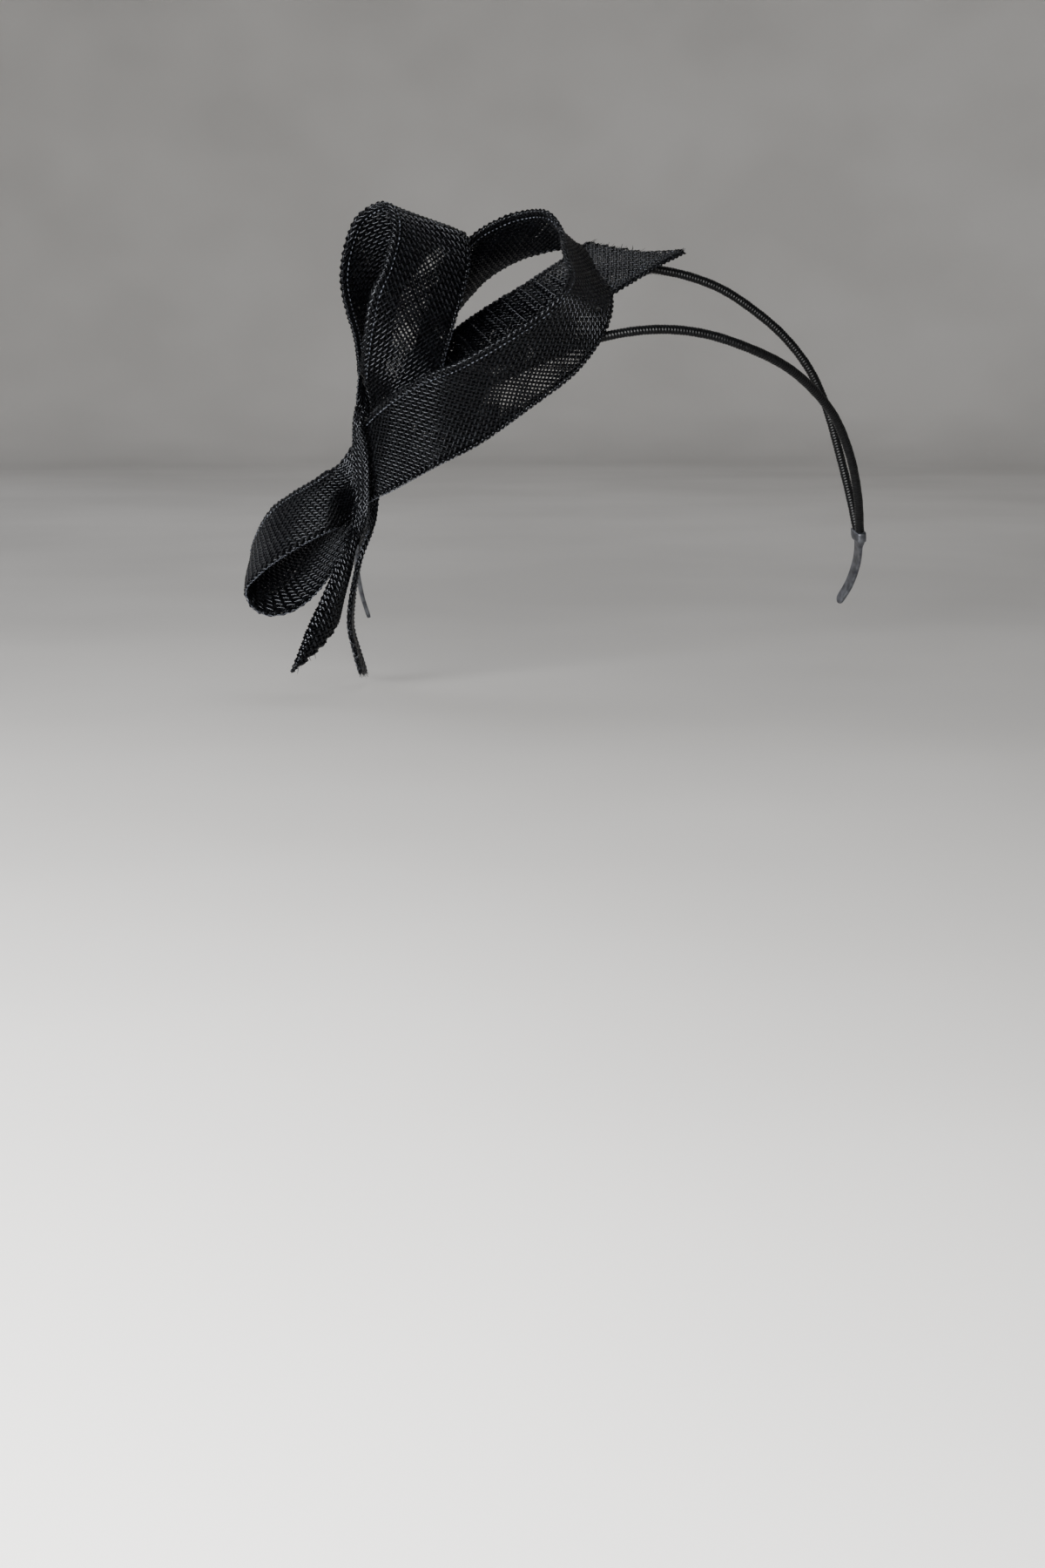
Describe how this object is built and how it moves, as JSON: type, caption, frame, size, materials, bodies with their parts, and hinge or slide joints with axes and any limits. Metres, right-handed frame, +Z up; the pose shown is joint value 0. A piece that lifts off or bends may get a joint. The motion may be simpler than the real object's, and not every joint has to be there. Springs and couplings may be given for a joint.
{
  "type": "fascinator",
  "caption": "Looped and knotted bow of stiff woven ribbon with cut tails, sewn to one side of a springy double headband.",
  "frame": {"origin": "the crown of the wearer's head, between and just under the tops of the two bands", "axes": "+Z up, the wearer faces -Y, the wearer's left is +X, so the bow sits on the -X side"},
  "size_m": [0.2126, 0.0808, 0.1434],
  "materials": {
    "woven_ribbon": "black stiffened open plain weave, double layer with stitched hems",
    "wrapped_thread": "black satin thread wound tightly round a wire",
    "bare_metal": "plain grey metal, dull"
  },
  "bodies": {
    "root": {"front_band": "wrapped_thread", "rear_band": "wrapped_thread", "band_tongue_left": "bare_metal", "band_tongue_right": "bare_metal", "bow_strip": "woven_ribbon", "upper_strip": "woven_ribbon", "tail_front": "woven_ribbon", "tail_right": "woven_ribbon", "tail_back": "woven_ribbon"}
  },
  "joints": []
}
